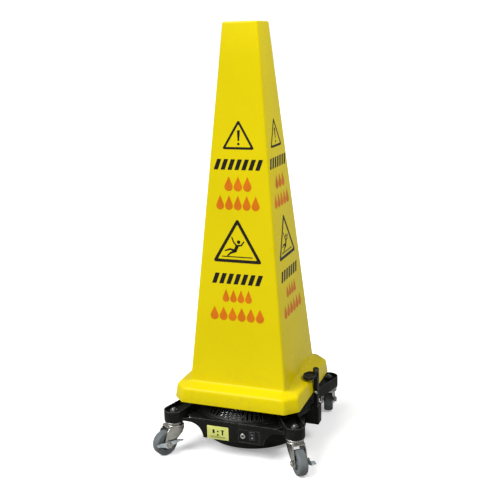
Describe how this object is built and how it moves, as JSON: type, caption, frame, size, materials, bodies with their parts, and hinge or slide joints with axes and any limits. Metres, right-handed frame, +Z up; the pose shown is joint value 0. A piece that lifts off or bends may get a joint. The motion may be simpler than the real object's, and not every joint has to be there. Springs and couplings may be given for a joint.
{
  "type": "wet floor cone dryer",
  "caption": "Square wet floor cone latched on a wheeled battery fan base, with a grille ring, corner arms, braked swivel casters and a front control panel.",
  "frame": {"origin": "on the floor under the centre of the base", "axes": "+Z up through the cone, the control panel faces -Y, the cone latch is on the +X side"},
  "size_m": [0.4075, 0.4115, 0.959],
  "materials": {
    "yellow_plastic": "smooth glossy moulding",
    "black_plastic": "satin moulding, rubbed pale along its edges",
    "switch_plastic": "gloss",
    "fan_plastic": "satin glass filled nylon",
    "zinc_plate": "bright zinc plated pressed steel",
    "steel": "brushed",
    "grey_rubber": "matte thermoplastic rubber",
    "grey_nylon": "satin",
    "battery_case": "satin",
    "board": "solder mask",
    "red_lead": "flexible insulation",
    "black_lead": "flexible insulation",
    "label": "printed sticker film"
  },
  "bodies": {
    "base": {"safety_cone": "yellow_plastic", "base_chassis": "black_plastic", "fan_shroud": "black_plastic", "outlet_guard": "black_plastic", "fan_motor": "steel", "motor_mount": "black_plastic", "battery_tray": "black_plastic", "battery": "battery_case", "battery_strap": "steel", "charge_board": "board", "lead_red": "red_lead", "lead_black": "black_lead", "control_panel": "black_plastic", "charge_jack": "steel", "jack_nut": "steel", "switch_housing": "switch_plastic", "label_plate": "label", "latch_bracket": "black_plastic", "latch_post": "black_plastic", "latch_screw": "steel", "latch_pivot_bolt": "black_plastic", "caster_stem_front_left": "zinc_plate", "stem_nut_front_left": "zinc_plate", "caster_stem_front_right": "zinc_plate", "stem_nut_front_right": "zinc_plate", "caster_stem_rear_right": "zinc_plate", "stem_nut_rear_right": "zinc_plate", "caster_stem_rear_left": "zinc_plate", "stem_nut_rear_left": "zinc_plate"},
    "fan_wheel": {"fan_impeller": "fan_plastic", "motor_shaft": "steel"},
    "power_rocker": {"switch_rocker": "switch_plastic"},
    "latch": {"latch_tongue": "black_plastic"},
    "swivel_front_left": {"ball_race_front_left": "steel", "fork_front_left": "zinc_plate", "axle_front_left": "zinc_plate"},
    "wheel_front_left": {"tyre_front_left": "grey_rubber", "wheel_hub_front_left": "grey_nylon"},
    "brake_front_left": {"brake_lever_front_left": "zinc_plate"},
    "swivel_front_right": {"ball_race_front_right": "steel", "fork_front_right": "zinc_plate", "axle_front_right": "zinc_plate"},
    "wheel_front_right": {"tyre_front_right": "grey_rubber", "wheel_hub_front_right": "grey_nylon"},
    "brake_front_right": {"brake_lever_front_right": "zinc_plate"},
    "swivel_rear_right": {"ball_race_rear_right": "steel", "fork_rear_right": "zinc_plate", "axle_rear_right": "zinc_plate"},
    "wheel_rear_right": {"tyre_rear_right": "grey_rubber", "wheel_hub_rear_right": "grey_nylon"},
    "brake_rear_right": {"brake_lever_rear_right": "zinc_plate"},
    "swivel_rear_left": {"ball_race_rear_left": "steel", "fork_rear_left": "zinc_plate", "axle_rear_left": "zinc_plate"},
    "wheel_rear_left": {"tyre_rear_left": "grey_rubber", "wheel_hub_rear_left": "grey_nylon"},
    "brake_rear_left": {"brake_lever_rear_left": "zinc_plate"}
  },
  "joints": [
    {"name": "fan_spin", "type": "hinge", "parent": "base", "child": "fan_wheel", "pos_m": [0, 0, 0.043], "axis": [0, 0, 1], "continuous": true},
    {"name": "power_switch", "type": "hinge", "parent": "base", "child": "power_rocker", "pos_m": [0.0465, -0.147, 0.064], "axis": [1, 0, 0], "range_deg": [-16, 0]},
    {"name": "latch_turn", "type": "hinge", "parent": "base", "child": "latch", "pos_m": [0.1538, -0.004, 0.1685], "axis": [0, 0, 1], "range_deg": [0, 110]},
    {"name": "swivel_turn_front_left", "type": "hinge", "parent": "base", "child": "swivel_front_left", "pos_m": [-0.145, -0.145, 0.07], "axis": [0, 0, 1], "continuous": true},
    {"name": "wheel_spin_front_left", "type": "hinge", "parent": "swivel_front_left", "child": "wheel_front_left", "pos_m": [-0.15952, -0.16824, 0.02875], "axis": [0.848, -0.5299, 0], "continuous": true},
    {"name": "brake_press_front_left", "type": "hinge", "parent": "swivel_front_left", "child": "brake_front_left", "pos_m": [-0.15952, -0.16824, 0.02875], "axis": [0.848, -0.5299, 0], "range_deg": [0, 14]},
    {"name": "swivel_turn_front_right", "type": "hinge", "parent": "base", "child": "swivel_front_right", "pos_m": [0.145, -0.145, 0.07], "axis": [0, 0, 1], "continuous": true},
    {"name": "wheel_spin_front_right", "type": "hinge", "parent": "swivel_front_right", "child": "wheel_front_right", "pos_m": [0.16168, -0.16674, 0.02875], "axis": [0.7934, 0.6088, 0], "continuous": true},
    {"name": "brake_press_front_right", "type": "hinge", "parent": "swivel_front_right", "child": "brake_front_right", "pos_m": [0.16168, -0.16674, 0.02875], "axis": [0.7934, 0.6088, 0], "range_deg": [0, 14]},
    {"name": "swivel_turn_rear_right", "type": "hinge", "parent": "base", "child": "swivel_rear_right", "pos_m": [0.145, 0.145, 0.07], "axis": [0, 0, 1], "continuous": true},
    {"name": "wheel_spin_rear_right", "type": "hinge", "parent": "swivel_rear_right", "child": "wheel_rear_right", "pos_m": [0.13745, 0.17134, 0.02875], "axis": [-0.9613, -0.2756, 0], "continuous": true},
    {"name": "brake_press_rear_right", "type": "hinge", "parent": "swivel_rear_right", "child": "brake_rear_right", "pos_m": [0.13745, 0.17134, 0.02875], "axis": [-0.9613, -0.2756, 0], "range_deg": [0, 14]},
    {"name": "swivel_turn_rear_left", "type": "hinge", "parent": "base", "child": "swivel_rear_left", "pos_m": [-0.145, 0.145, 0.07], "axis": [0, 0, 1], "continuous": true},
    {"name": "wheel_spin_rear_left", "type": "hinge", "parent": "swivel_rear_left", "child": "wheel_rear_left", "pos_m": [-0.1723, 0.14261, 0.02875], "axis": [0.0872, -0.9962, 0], "continuous": true},
    {"name": "brake_press_rear_left", "type": "hinge", "parent": "swivel_rear_left", "child": "brake_rear_left", "pos_m": [-0.1723, 0.14261, 0.02875], "axis": [0.0872, -0.9962, 0], "range_deg": [0, 14]}
  ]
}
